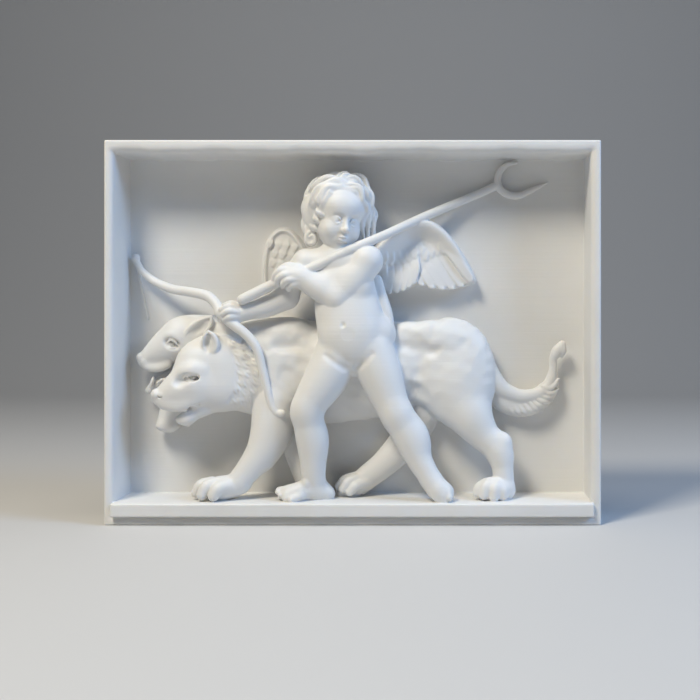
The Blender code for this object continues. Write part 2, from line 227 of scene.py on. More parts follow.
def smooth_path(points, values, steps):
    """A Catmull-Rom curve through the points, and the values along it."""
    p = np.array(points, float)
    v = np.array(values, float) if np.ndim(values) else np.full(len(p), float(values))
    if len(p) < 3 or steps < 2:
        return p, v
    q = np.column_stack([p, v])
    q = np.vstack([2 * q[0] - q[1], q, 2 * q[-1] - q[-2]])
    out = []
    for i in range(1, len(q) - 2):
        for s in range(steps):
            t = s / steps
            a, b, c, d = q[i - 1], q[i], q[i + 1], q[i + 2]
            curve = 2 * b + (c - a) * t + (2 * a - 5 * b + 4 * c - d) * t ** 2
            out.append(.5 * (curve + (3 * b - a - 3 * c + d) * t ** 3))
    out.append(q[-2])
    out = np.array(out)
    return out[:, :3], np.maximum(out[:, 3], .05)

# the photo's view: focal length in pixels, mm from the camera to the relief's ground,
# and the place in mm that pixel (450, 305) shows on it
FOCAL, RANGE = 1082.0, 458.3
SPOT_PX, SPOT_PY, SPOT_X, SPOT_Z = 450, 305, 39.2, 88.6

def at(px, py, h):
    """The place in mm of a photo pixel, for a surface h mm above the ground."""
    s = (RANGE - h) / FOCAL
    return (SPOT_X + (px - SPOT_PX) * s, SPOT_Z + (SPOT_PY - py) * s, h)

def mm(v, depth=None):
    """Turns every (px, py, h) inside v into (x, z, h), all seen at one depth if it is given."""
    if len(v) == 3 and not isinstance(v[0], (tuple, list)):
        x, z, _ = at(v[0], v[1], v[2] if depth is None else depth)
        return (x, z, v[2])
    return type(v)(mm(q, depth) if isinstance(q, (tuple, list)) else q for q in v)

def mix(a, b, t):
    return tuple(p + (q - p) * t for p, q in zip(a, b))

def along(points, share):
    path, _ = smooth_path(points, np.ones(len(points)), 8)
    spot = share * (len(path) - 1)
    i = min(int(spot), len(path) - 2)
    return tuple(path[i] + (path[i + 1] - path[i]) * (spot - i))

def fan(*curves, count):
    """Count rows of places, each with one place on every curve."""
    return [tuple(along(v, i / (count - 1)) for v in curves) for i in range(count)]

def bowed(root, tip, bulge, share=.5):
    x, z, h = mix(root, tip, share)
    dx, dz = tip[0] - root[0], tip[1] - root[1]
    length = hypot(dx, dz)
    return (x - dz / length * bulge, z + dx / length * bulge, h)

class Pose:
    """A turned local frame: a to the right, b up, c forwards."""
    def __init__(self, origin, yaw, pitch, roll):
        self.R = spin(roll) @ spin(yaw, 2, 0) @ spin(pitch, 1, 2)
        self.o = np.array(origin, float)

    def __call__(self, a, b, c):
        return tuple(self.o + self.R @ np.array([a, b, c], float))

def strands(f, stops, width, radius, count, k=.15, twist=0, sway=0, taper=.45):
    """A lock: count strands side by side along stops, parallel to the panel's plane."""
    path, _ = smooth_path(stops, np.ones(len(stops)), 5)
    t = np.linspace(0, 1, len(path))
    tang = np.gradient(path, axis=0)
    side = np.stack([-tang[:, 1], tang[:, 0], np.zeros(len(path))], 1)
    side /= np.linalg.norm(side, axis=1, keepdims=True) + 1e-9
    swell = np.clip(np.sin(np.pi * np.clip(.14 + .86 * t, 0, 1)), 0, 1) ** taper
    for j in range(count):
        off = 0 if count == 1 else 2 * j / (count - 1) - 1
        wave = sway * np.sin(2 * np.pi * (1.2 * t + .31 * j))
        lift = -.35 * abs(off) * radius + twist * off * (t - .5) * 2
        outward = np.stack([0 * t, 0 * t, lift + 0 * t], 1)
        pts = path + side * (off * width * swell + wave)[:, None] + outward
        f.join(Limb(pts, np.maximum(radius * (.35 + .65 * swell), .15), 1, 1), k)

def top(f, x, z):
    """How far out the solid in a field comes at a place, or 0 where it is empty."""
    i = min(max(int(round((x - f.low[0]) / f.step)), 0), f.size[0] - 1)
    j = min(max(int(round((z - f.low[1]) / f.step)), 0), f.size[1] - 1)
    inside = np.nonzero(f.d[i, j] < 0)[0]
    if not len(inside):
        return 0.0
    k = inside[-1]
    if k + 1 >= f.size[2]:
        return float(f.axes[2][k])
    a, b = f.d[i, j, k], f.d[i, j, k + 1]
    return float(f.axes[2][k] + f.step * a / (a - b))

MIDWAY = 12.0  # mm above the ground, where the search for a surface starts

def draped(f, points, lifts):
    """Flat px, py places laid on the surface, each lifted a little."""
    out = []
    for (px, py), lift in zip(points, lifts):
        h = MIDWAY
        for _ in range(3):
            x, z, _h = at(px, py, h)
            h = top(f, x, z)
        out.append((x, z, h + lift))
    return out

def nearest(path, X, Z):
    """The distance to a path in the plane, and the share of the way along it."""
    best = share = None
    n = len(path) - 1
    for i, (a, b) in enumerate(zip(path[:-1], path[1:])):
        ba = (b - a)[:2]
        t = np.clip(((X - a[0]) * ba[0] + (Z - a[1]) * ba[1]) / (ba @ ba + 1e-9), 0, 1)
        d = np.sqrt((X - a[0] - t * ba[0]) ** 2 + (Z - a[1] - t * ba[1]) ** 2)
        if best is None:
            best, share = d, (i + t) / n
        else:
            closer = d < best
            best, share = np.where(closer, d, best), np.where(closer, (i + t) / n, share)
    return best, share

class Raised:
    """A form that rises from the ground to a height inside a closed outline, with soft edges."""
    def __init__(self, outline, height, soft=1.5):
        self.p = np.array(outline, float)[:, :2]
        self.height, self.soft = height, soft

    def bounds(self):
        lo, hi = self.p.min(0), self.p.max(0)
        return np.array([lo[0], lo[1], -1.0]), np.array([hi[0], hi[1], 16.0])

    def dist(self, X, Z, H):
        ring = np.vstack([self.p, self.p[:1]])
        edge, _ = nearest(ring, X, Z)
        inside = np.zeros(np.broadcast(X, Z).shape, bool)
        for a, b in zip(ring[:-1], ring[1:]):
            span = (a[1] > Z) != (b[1] > Z)
            cross = a[0] + (Z - a[1]) * (b[0] - a[0]) / (b[1] - a[1] + 1e-12)
            inside ^= span & (X < cross)
        edge = np.where(inside, -edge, edge)
        over = (H - self.height(X, Z)) * .85
        s = self.soft
        h = np.maximum(s - np.abs(edge - over), 0) / s
        return np.maximum(edge, over) + h * h * (s * .25)

def bump(q):
    """1 at q = 0, falling smoothly to 0 at q = 1."""
    q = np.clip(np.abs(q), 0, 1)
    return .5 + .5 * np.cos(np.pi * q)

def rise(q):
    q = np.clip(q, 0, 1)
    return q * q * (3 - 2 * q)

# ---- head
HEAD = Pose(at(338,216,13.4), 27, 10, -9)
CROWN = HEAD(0, 3.6, -1)
HAIR_ROUND = 10.9  # mm

def skull(x, z, out=0):
    """A place on the hair, out mm over its round."""
    d2 = (x - CROWN[0]) ** 2 + (z - CROWN[1]) ** 2
    r = HAIR_ROUND + out
    return (x, z, CROWN[2] + sqrt(max(r * r - d2, 1)))

def head(f):
    P = HEAD
    def ball(a, b, c, ra, rb, rc, k):
        f.join(Mass(P(a, b, c), (ra, rb, rc), P.R), k)
    def dig(a, b, c, ra, rb, rc, k):
        f.carve(Mass(P(a, b, c), (ra, rb, rc), P.R), k)
    def tube(pts, r, k, flat=1):
        f.join(Limb([P(*face(*p)) for p in pts], r, flat, 4), k)
    def groove(pts, r, k):
        f.carve(Limb([P(*face(*p)) for p in pts], r, 1, 4), k)
    def face(a, b, out=0):
        q = 1 - (a / 8.4) ** 2 - ((b + 4.3) / 9.6) ** 2
        return (a, b, 3.0 + 8.4 * sqrt(max(q, .02)) + out)
    ball(0, 3.6, -1, 10.2, 11, 11.2, 0)
    ball(0, -4.1, 3, 8.2, 9.4, 8.3, 2.5)
    ball(0, 4.6, 5.4, 7.8, 5.4, 5.2, 2.5)
    for s in (-1,1):
        ball(4.2 * s, -5.4, 6.4, 3.9, 3.9, 3.8, 2)
        ball(2.0 * s, -9.3, 6.6, 3, 2.6, 2.8, 2)
    ball(0, -11.3, 8, 2.5, 2.1, 2.1, 1.6)
    ball(0, -7.8, 9.7, 3, 2.4, 1.8, 1.2)
    for s in (-1,1):
        a, b, c = face(3.5 * s, .1, 1)
        dig(a, b, c, 2.4, 1.4, 1.4, 1.8)
        dig(*face(1.6 * s, -.3, 1.2), 1, 1.1, 1.1, 1)
    ball(*face(0,2.4,-.9), 1.7, 1.8, 1.3, 1.6)
    for s in (-1,1):
        a, b, c = face(3.55 * s, -.75, -2.05)
        ball(a, b, c, 2.1, 1.65, 2.15, .45)
        tube([(1.8 * s, -.9, -.3), (2.7 * s, .2, .1), (3.7 * s, .5, .15), (4.8 * s, .1, -.05),
            (5.6 * s, -.8, -.35)], [.3,.45,.5,.45,.3], .4)
        tube([(2.1 * s, -1.25, -.4), (3.6 * s, -1.95, -.05), (5.1 * s, -1.25, -.35)], [.22,.32,.22], .45)
        tube([(1.7 * s, 2.2, -.4), (3.8 * s, 2.75, -.45), (6.0 * s, 1.9, -.9)], [.6,.65,.4], 1.6)
    tube([(0,1.8,-.5), (0,-.4,-.1), (0,-2.2,.45), (0,-3.5,1.15)], [.85,.8,.95,1.3], 1.2)
    for s in (-1,1):
        ball(*face(1.1 * s, -3.95, .5), .85, .75, .95, .7)
        dig(*face(.6 * s, -4.8, 1.05), .3, .25, .4, .25)
    groove([(0,-5.5,.85), (0,-6.3,.75)], [.28,.32], .5)
    tube([(-1.9,-7.4,.2), (-1.1,-6.95,.65), (-.4,-6.7,.85), (0,-6.85,.8), (.4,-6.7,.85), (1.1,-6.95,.65),
        (1.9,-7.4,.2)], [.25,.42,.48,.44,.48,.42,.25], .7)
    tube([(-1.4,-7.95,.35), (-.6,-8.25,.75), (.6,-8.25,.75), (1.4,-7.95,.35)], [.4,.62,.62,.4], .7)
    groove([(-2,-7.5,.5), (-1,-7.35,1.1), (0,-7.5,1.3), (1,-7.35,1.1), (2,-7.5,.5)], [.14,.2,.22,.2,.14],
        .3)
    groove([(-1.4,-9.7,.95), (0,-9.9,1.15), (1.4,-9.7,.95)], [.35,.5,.35], 1.2)
    hair(f)

def hair(f):
    P = HEAD
    cap = Field(tuple(f.low), tuple(f.low + (f.size - 1) * f.step), f.step)
    cap.join(Mass(P(-.5,4,-1.6), (10.9,11.3,11.2), P.R))
    cap.join(Mass(at(314,211,12.4), (4.8,8.8,6)), 3)
    cap.join(Mass(at(363,212,11.4), (4,8.6,4.8), -6), 3)
    cap.carve(Mass(P(0,-2.6,9.8), (8.7,10.9,9.2), P.R), 1.6)
    f.merge(cap, .9)
    # waves that sweep from the parting to both sides, the hairline first
    sweep = mm([
        ([(344,190,.1), (336,189.5,.9), (329.5,193.5,1.1), (325.5,200.5,1), (323,208,.7), (319,215,.3)],
        1.7, .85, 4),
        ([(346,187,.4), (337,185,1.3), (328,188.5,1.5), (320.5,195.5,1.3), (316,204,1), (312,213,.5)],
        1.8, .95, 4),
        ([(347,183.5,.4), (337,180.8,1.2), (326.5,183.5,1.4), (317.5,190,1.2), (311,199,.9),
        (307,209,.4)], 1.8, .95, 4),
        ([(346,180,.3), (336,177.2,.9), (325.5,179.6,1.1), (316,185.6,.9), (309.2,194,.7),
        (304.8,204,.3)], 1.6, .95, 3),
        ([(345,190,.1), (352,188.8,.9), (358,193.2,1), (362,200.5,.8), (364.5,208,.6), (365.5,216,.3)],
        1.6, .85, 4),
        ([(346,186,.5), (353,183.6,1.3), (360,188.2,1.3), (364.8,196,1), (368,205,.7), (369.5,214,.4)],
        1.7, .95, 4),
        ([(342,180,.4), (350,177.4,1), (358.5,181,1.1), (365,188.5,.8), (369.5,198,.6), (372,208,.3)],
        1.6, .95, 3),
        ([(340,184.5,.9), (344.5,179.2,2.2), (351,178.2,2.4), (355,182,2), (351.5,185.2,1.4)], 1.1, .7,
        3),
        ([(336,181.5,.9), (340,177.4,1.8), (345.5,176.6,2), (348,179.6,1.6)], 1, .65, 3),
    ], 15)
    for n, (stops, width, radius, count) in enumerate(sweep):
        path = [skull(*s) for s in stops]
        wave = .55 * (-1) ** n
        for i in range(1, len(path) - 1):
            x, z, h = path[i]
            path[i] = (x + wave * (-1) ** i * .6, z + wave * (-1) ** i, h)
        strands(f, path, width, radius, count, .62, .3 * (-1) ** n, .35)
    # wavy locks down the near side, the outer one ending in a round curl
    for a, b, c, d, e in mm([
            ((316,197,19.2), (312,206,18.8), (315,214.5,17.8), (311,222,16.4), (312.5,231,15.2)),
            ((308.5,197,15.6), (305.6,208,15), (308,217,13.8), (305.4,225,13.6), (306.4,236,13.6)),
            ((311,224,14.6), (308.5,229.5,14.8), (311,236,14.6), (309,241,14), (308,246,13.2))]):
        strands(f, [a, b, c, d, e], 1.4, .9, 4, .4, .3, .2)
    curl = at(311.8,239,14.4)
    f.join(Mass(curl, (2.5,3,1.3)), .8)
    ring, radii = [], []
    for i in range(19):
        t = i / 18
        ang = radians(110 + 380 * t)
        r = 2.5 * (1 - .62 * t)
        ring.append((curl[0] + r * cos(ang), curl[1] + 1.12 * r * sin(ang), curl[2] + .6 + .5 * t))
        radii.append(1.05 - .3 * t)
    f.join(Limb(ring, radii, 1, 1), .2)
    # short rolled locks beside the cheek
    for px, py, r in ((320.5,213.5,2.5), (318.5,220.5,2.7), (315,228,2.9)):
        (x, z, h), = draped(f, [(px, py)], [-.2])
        f.join(Mass((x, z, h), (r, 1.35, 1.5), -24), .5)
        for t in (-.55,0,.55):
            dx, dz = r * t, -.45 * r * t
            f.join(Limb([(x + dx - .3, z + dz + 1.2, h + .3), (x + dx, z + dz, h + 1.25),
                (x + dx + .3, z + dz - 1.2, h + .3)], .42, 1, 3), .35)
    # wavy strands on the far side
    locks = fan(
        mm([(362.5,198,13.7), (367,198,11.9), (370,203,10.6)]),
        mm([(365.5,208,15), (370,210,12.8), (372.5,214,11.2)]),
        mm([(363,220,15.3), (368.5,222,13), (373.5,224,11.6)]),
        mm([(364.5,242,14), (369.5,240,12.6), (375.5,237,11.6)]), count=5)
    for i, (a, b, c, d) in enumerate(locks):
        sway = .7 * (-1) ** i
        strands(f, [a, (b[0] + sway, b[1], b[2] + .3), (c[0] - sway, c[1], c[2] + .2), d], .85, .75, 3,
            .35, .2, .2, .6)

# ---- child
CREASES = (((317,346), (326,355.5), (336,363), (345,368.5)), ((378,347), (372,354), (365,361),
    (357,368.5)))

def creases(f, first):
    for flat in CREASES:
        path = draped(f, flat[first:], [.35] * 4)
        f.carve(Limb(path, [.2,.5,.6,.5][:len(path)], 1, 4), 2.2)

def putto(f):
    f.tube([(344,274,15), (346,300,16), (350,322,16.5), (354,342,16)], 0, [11.5,12.9,13.7,14.2], flat=.6)
    f.mound((348,335,20.9), 4, (10,9.2,4.9))
    f.mound((345,312,20.3), 3, (8.5,6,3.6))
    f.mound((329,286,19.8), 2.5, (5.6,4.6,3.4))
    f.mound((357,286,20.2), 2.5, (5.6,4.6,3.4))
    f.mound((380,333,14.5), 3, (6.5,7.5,5.2), 10)
    # belly fold and navel
    f.groove([(327,350,20.6), (336,357,21.6), (347,359.5,22), (358,357,21.8), (367,350,20.8)], 1.8,
        [.3,.5,.6,.5,.3])
    f.dent((342.5,325,26.8), 1, (.8,1.1,1.5))
    f.mound((341.5,329.5,24.3), 1, (1.5,.9,.9))
    f.mound((349,362,17.6), 3, (5.5,4,3.2))
    creases(f, 0)
    # neck and shoulders
    f.tube([(337,262,14.6), (338,240,14)], 2.5, [6.4,5.6])
    f.tube([(330,262,14.6), (306,264,14.4)], 3, [6.2,6])
    f.tube([(345,262,15.6), (366,262,17)], 3, [6,5.8])

def legs(f):
    # near right thigh and leg
    f.tube([(338,352,15.5), (326,378,17.3), (312,400,18.8), (306.5,414,19)], 0, [9.2,8.8,7.2,6.2],
        flat=.95)
    f.tube([(307,412,19), (310.5,437,18), (313,458,17), (313.5,476,16.3), (317,489,15)], 2,
        [6.1,6.1,5.5,4.9,4.4], flat=.95)
    f.mound((317,440,17), 2.5, (4.6,8.5,4.8), 2)
    f.mound((304.5,409,20.8), 3.5, (4.2,4.8,3.6))
    # right foot
    f.tube([(322,492,14.2), (308,490,16.2), (296,493.5,18.4), (288,496,19.8)], 1.5, [4.3,4.3,3.5,2.5],
        flat=.95)
    f.mound((327,494,14), 1.5, (3.4,2.9,3.4))
    f.mound((306,483.5,19.4), 1.2, (1.7,1.8,1.4))
    f.tube([(300,491,18), (290,491.5,18), (282,492,17.4)], 1.5, [3.4,2.9,2.1], flat=.95)
    for a, b, r in mm([((300,496,20.6),(291.5,500,22.4),1.7), ((293,495,19.6),(285.5,499,21.2),1.35),
            ((287,493,18.2),(280.5,495.5,19.8),1.25), ((284,490.5,17),(277.5,492,18.4),1.15),
            ((284,488.5,15.6),(278,489.5,16.8),1)]):
        f.join(Limb([a, b], [r * 1.05, r * .9], 1, 2), .9)
    # left thigh and leg
    f.tube([(371,350,15.2), (380,374,16.4), (389,398,17.5), (398,417,18.2)], 1, [9.4,8.8,7.4,6.5],
        flat=.95)
    f.tube([(398,416,18.2), (409,438,18.4), (419,459,18.6), (430,478,19.6)], 2, [6.4,6.2,5.2,4.3],
        flat=.95)
    f.mound((415,436,17), 3.5, (5.6,8.6,5.2), 22)
    f.mound((394,411,20.2), 3.5, (4.2,4.8,3.6), 20)
    f.tube([(431,480,19), (437,488,20.2), (441,494,21)], 1.5, [4.3,4.6,3.9], flat=.95)
    f.mound((443.5,492,20), 1.5, (4.4,4,3.6), -20)
    creases(f, 1)
    for px, py, r in ((434.4,497.5,1), (437.6,499.6,1.1), (441,500.6,1.2), (444.8,500.2,1.3),
            (448.8,497.5,1.6)):
        f.tube([(px - 1.2, py - 7, 22), (px, py, 23)], .6, [r * .9, r], 1, 2)

def arms(f):
    # far arm, out to the bow
    f.tube([(307,263,14.6), (293,279,13.6), (286,296,13)], 0, [6,5.3,4.8])
    f.tube([(287,297,13), (265,307,14), (247,311.5,15.2)], 2, [5,4.4,3.3])
    f.tube([(249,311,15), (240,314,15.6), (233,314,16)], 1.2, [3.2,3.3,2.9])
    for a, b, c in [((237,308.5,17.2),(228,306.5,18.6),(221,309.5,18.8)),
            ((238,312.5,18),(229,311,19.8),(222.5,314,19.6)),
            ((238,316.5,17.6),(230,317,19.6),(225,319.5,19.2)),
            ((239,320,16.4),(233,322,18),(229.5,323.5,17.6))]:
        f.tube([a, b, c], .5, [1.35,1.3,1], 1, 3)
    f.tube([(241,307,16.4), (232,303.5,17), (224,305.5,16.4)], .4, [1.5,1.35,1], 1, 3)
    # near arm, folded over the staff
    f.tube([(367,262,17.4), (353,282,18.8), (337,298,19.6)], 0, [6.3,6.1,5.4])
    f.tube([(337,298,19.6), (317,287,20), (301,277.5,20)], 2.2, [5.4,5,4.1])
    f.mound((338,277,18.2), 4, (9.5,6.2,4.6), 25)
    f.mound((365,259,17.5), 2.5, (6.4,5.6,5.2))
    # hand over the staff, fingers wrapped round it
    f.tube([(303,278,20), (294,275,20.2), (287,274,20.2)], 1.5, [4,4,3.4])
    for a, b, c, d in [((290,270,21.4),(281,270,22),(275.5,274.5,21.6),(273.5,279.5,20.6)),
            ((293,275,22.4),(284,275,23.2),(278,279,22.6),(277,283,21.4)),
            ((297,279.5,22.8),(288,280,23.4),(283,283.5,22.6),(282.5,286.5,21.4)),
            ((300,283.5,22.2),(293,284.5,22.6),(288.5,287.5,21.6),(289,289.5,20.6))]:
        f.tube([a, b, c, d], .6, [1.5,1.5,1.25,.95], 1, 3)
    f.tube([(297,268,20.6), (288,265.5,20.8), (280,268.5,20)], .8, [1.7,1.5,1.1], 1, 3)

def wings(f):
    """The raised wing: a rolled leading edge over a scoop, and two rows of broad feathers."""
    edge, _ = smooth_path(mm([(369,252,9), (378,242.5,9), (387,233.5,9), (397,224.5,9), (408,219.5,9),
        (420,218,9), (431,220.5,9), (441,226.5,9), (450,235,9),
                              (459,247,9), (467,260.5,9), (473,272,9), (477,281,9)]), np.ones(13), 8)
    inner = fan(mm([(384,262,9), (392,262,9), (402,260,9), (412,256,9), (416,254,9)]),
        mm([(380,291.5,9), (390,290.5,9), (399.5,288.5,9), (407,285,9), (412.5,281,9)]), count=6)
    outer = fan(mm([(417.5,275,9), (421,266,9), (427,257.5,9), (434.5,251,9), (445,247,9)]),
        mm([(422,281,9), (434.5,284.3,9), (447,285,9), (459,283,9), (470,278.5,9)]), count=6)
    beyond = [mm((px, py, 9)) for px, py in ((474,283), (468,285.3), (460,287.3), (448,289), (434,288),
        (421,283.5), (414,284.5), (406,288.5), (395,291.5), (380,293))]
    ring = [tuple(p) for p in edge] + beyond + [mm((370,289,9))]

    def height(X, Z):
        u, s = nearest(edge, X, Z)
        crest = 12.6 - 6.4 * s ** 1.3
        floor = 7.0 - 1.6 * s
        width = 2.3 - 1.1 * s
        roll = np.where(u < width, 1 - .35 * (1 - u / width) ** 2, bump((u - width) / (9.5 - 4 * s)))
        return floor + (crest - floor) * roll + 1.7 * rise((u - 7) / 13)

    f.join(Raised(ring, height, 1.6), 0)

    def spot(p):
        return float(height(np.array(p[0]), np.array(p[1])))

    # inner feathers hang down, each with its right edge raised; the long ones fan out to the tip
    for group, half, slope, lean in ((list(reversed(inner)), 1.75, .16, .7), (outer, 2.3, -.19, .3)):
        for n, (root, tip) in enumerate(group):
            if group is outer and n == 5:
                half, slope = half * .8, .06
            m = bowed(root, tip, lean, .5)
            stops = [root, mix(root, m, .5), m, mix(m, tip, .5), tip]
            lifts = (-.9,-.1,.15,.2,.15)
            f.join(Ribbon([(p[0], p[1], spot(p) - .35 + l) for p, l in zip(stops, lifts)],
                [half * .7, half * .85, half, half * 1.05, half * .95], .75, slope, 3), .25)
    # coverts: faint overlapping scales at the foot of the scoop
    rows = ((mm([(385,254,9), (397,253.5,9), (409,250.5,9), (419,245.5,9)]),
        mm([(383.5,262,9), (396,262,9), (409,259,9), (420,253,9)]), 7),
            (mm([(424,250,9), (432,246,9), (441,243.5,9)]),
            mm([(425,258,9), (434,253.5,9), (444,251,9)]), 4))
    for roots, tips, count in rows:
        for root, tip in fan(roots, tips, count=count):
            m = mix(root, tip, .55)
            f.join(Ribbon([(root[0], root[1], spot(root) - .75), (m[0], m[1], spot(m) - .38),
                (tip[0], tip[1], spot(tip) - .3)], [1.2,1.75,1.2], .6, .1), .8)

def far_wing(f):
    """The low wing behind the far shoulder, with a raised rim and soft scales."""
    edge, _ = smooth_path(mm([(262.5,287,3), (262,268,3), (264,250,3), (269,236.5,3), (277,229,3),
        (286,227.8,3), (294,232,3), (301,240.5,3), (308,252,3)]), np.ones(9), 3)
    ring = [tuple(p) for p in edge] + [mm((312,270,3)), mm((290,288,3))]

    def height(X, Z):
        u, _ = nearest(edge, X, Z)
        return 2.5 + .9 * bump((u - 1.3) / 1.5) + .9 * rise((u - 2) / 7)

    f.join(Raised(ring, height, 1.4), 0)
    for i in range(4):
        for j in range(4):
            x, z = mm((270.5 + 8.0 * i + 3.5 * (j % 2) + 1.5 * j, 242 + 9.5 * j + 1.5 * i, 3))[:2]
            h = float(height(np.array(x), np.array(z)))
            f.join(Ribbon([(x + .3, z + 1.6, h - .7), (x, z, h - .15), (x - .5, z - 1.7, h - .1)],
                [.8,1.5,1], .5, .12), .5)

def quiver(f):
    f.tube([(377,280,11.4), (381.5,303,13.8), (386,317,14.2), (388,328,14.2)], 0, [2.2,3,2.8,2.6],
        flat=.75)
    f.tube([(385,296,12.6), (389.5,310,13.2), (392,322,13.2)], .4, [.9,1,.9], flat=.8)
    low = at(380,325.5,14)[1]
    f.carve(Block((-10, low - 12, -5), (40, low, 40)), 0)

# ---- bow and staff
def gear(f):
    f.tube([(242.5,299.5,19), (275,283.5,19.3), (310,269,20), (350,250,20.5), (385,235,16),
        (425,216.5,8), (470,197.5,3.4), (498,185,2.4)], 0, [2.15,2.1,2,2,1.9,1.9,1.8,1.7], steps=4)
    f.tube([(517,163,1.6), (507,165,2), (499,173,2.2), (498,185,2.4), (505,193,2.4), (517,196,2.4),
        (532,190,2.2), (547,183,1.6)], .3, [.6,1.1,1.4,1.6,1.6,1.5,1.2,.4])
    f.tube([(136,260,2.4), (142,271,3), (154,281,4.5), (172,289,7), (190,292,10), (207,296,13),
        (216,304,15), (220,313,17)], 0, [1.4,1.5,1.7,1.9,2,2.1,2.1,2.1])
    f.tube([(220,313,17), (232,323.5,18), (246,334.5,18.5), (256.5,348,18.5), (262,368,18),
        (267,388,17.7), (271,404,17.6), (276,412.5,17.7), (282,413.3,17.8)], .3,
        [2.1,2.1,2,1.9,1.75,1.6,1.45,1.3,1.2])
    f.mound((136,258,2.6), .3, (1.8,1.9,1.8))
    f.mound((281,413.2,17.8), .3, (1.9,1.4,1.5), 0)
    f.tube([(137,263,.6), (141,285,.6), (148,318,.6)], .3, [.55,.5,.5], 1, 4)

# ---- hound
def trunk(f):
    f.tube([(290,368,3), (330,369,3), (370,368,3), (410,365,3), (440,364,3)], 0,
        [20.2,20,19.4,18.4,17.6], flat=.62)
    f.tube([(300,390,3), (322,397,3), (350,396,3), (380,392,3)], 4, [11,11.2,10.4,9.8], flat=.8)
    f.tube([(285,352,4), (262,345,5), (240,343,5)], 3, [12,11.5,10.5], flat=.7)
    f.mound((281,368,9), 4, (12.5,19.5,7.4), -8)
    f.mound((284,332,8.2), 3, (10.5,5.6,4.8), 8)
    f.dent((289,345,15.2), 3, (6,1.8,1.5), 6)
    f.dent((285,375,17.6), 3, (2.2,3.2,1.4), 10)
    # haunch
    f.mound((456,370,7.6), 7, (16,21,6.6), 10)
    f.mound((472,368,6.6), 6, (6.6,13,6), 6)
    f.dent((416,348,15.2), 4, (6.4,2.2,1.6), -14)
    f.dent((420,369,15.9), 4, (2.2,4,1.5), 0)
    f.dent((447,380,18.2), 6, (3.4,6.5,1.8), 20)
    f.dent((489,405,15.6), 3, (2,4.6,1.4), 12)
    f.tube([(404,332,9.5), (430,334,10.5), (452,340,10.5)], 4, [3.5,4.5,3.5], .8, 4)
    # a flat flap of skin between belly and thigh
    f.carve(Limb(draped(f, [(404,392), (412,391.5), (420,393), (427,398)], [2.3] * 4), [2.6,3.4,3.4,2.4],
        1, 4), 2.2)
    f.mound((417,391,5), 1.5, (8.6,4.8,3.6), -8)
    for i in range(6):
        px, py = 405 + 4.4 * i, 386.5 + .16 * i * i
        f.carve(Limb(draped(f, [(px + 1.5, py), (px, py + 5), (px - 2.5, py + 10)], [.2] * 3),
            [.15,.32,.15], 1, 3), .4)
    f.tube([(436,372,6.5), (437,388,6.5), (446,404,7.5)], 3, [6,6.6,6.4], .9, 4)
    # the coat's slight unevenness
    x, z, _ = f.grid()
    rng = np.random.default_rng(5)
    coat = 0
    for _ in range(22):
        way, phase, pitch = rng.uniform(0,6.283), rng.uniform(0,6.283), rng.uniform(.45,1.5)
        coat = coat + np.sin(pitch * (x * cos(way) + z * sin(way)) + phase)
    f.d += (.032 * coat).astype(np.float32)
    # near foreleg
    f.tube([(274,402,10.5), (270,430,12.5), (262,451,14), (249,469,15.3), (240,480,16)], 3,
        [8.9,7.9,6.5,5.2,4.8], flat=.85)
    f.tube([(282,420,10), (276,440,12), (264,462,13.6)], 2.5, [6,5.2,3.6], .85, 4)
    # far foreleg
    f.tube([(290,418,3.5), (294,445,4), (306,480,5)], 2, [6,5,4.4], flat=.9)
    # near hind leg
    f.tube([(455,384,6.6), (467,412,9.6), (482,433,11.6), (494,445,12.6), (501,456,13.2)], 6,
        [12.6,9.2,6.7,5.9,5], flat=.85)
    f.mound((473,417,12.2), 6, (5,6,4.4), 20)
    f.tube([(500,452,13.2), (502.5,466,13.6), (503.5,480,13.8), (504,490,14)], 2, [5,4.4,4.3,4.4],
        flat=.95)
    f.mound((504,441,13.4), 2.5, (3,3.2,3.2))
    # far hind leg
    f.tube([(426,402,.2), (417,421,2.8), (404,443,4.8), (385,463,6.2), (366,478,6.8)], 1.2,
        [8,8,6.8,5.6,5], flat=.85)

def toes(f, blend, *rows):
    for a, b, c, r in rows:
        f.tube([a, b, c], blend, [r, r, r * .85], 1, 4)

def paws(f):
    # near fore paw
    f.mound((222,488,16.6), 0, (7.4,5,5.2), 12)
    f.mound((238,484,15.4), 2, (6,4.6,4.6), 20)
    toes(f, .7, ((227,486,19.2),(218,489,21),(213.5,496,21.6),2.7),
        ((217,483,18),(207,486.5,19.8),(202,495,20.6),2.6), ((212,482,15.4),(201,485,16.4),
        (196,493,16.8),2.3))
    # near hind paw
    f.mound((494,489,15), 0, (7.4,5,5.2), 4)
    f.mound((507,489,13.6), 2, (3.4,4.4,4.4))
    toes(f, 1.5, ((502,486,17.4),(503,490,18.8),(503.5,496,18.8),2.1),
        ((497,484,18),(495,489,19.6),(494,497,19.8),2.35), ((490,483,17.4),(485.5,487.5,18.9),
        (483.5,495,19.4),2.3), ((485,484,15.6),(479,487.5,16.8),(477,493,17),2))
    # far hind paw
    f.mound((355,486,6.8), 0, (8.2,4.7,4.4), 18)
    toes(f, .6, ((366,482,9.4),(356,485.5,11.6),(350,492,12),2.1),
        ((360,478,8.8),(349,481.5,10.8),(343,489,11.2),2.1), ((355,476,7.4),(344.5,479.5,8.6),
        (338.5,486,9),1.8))

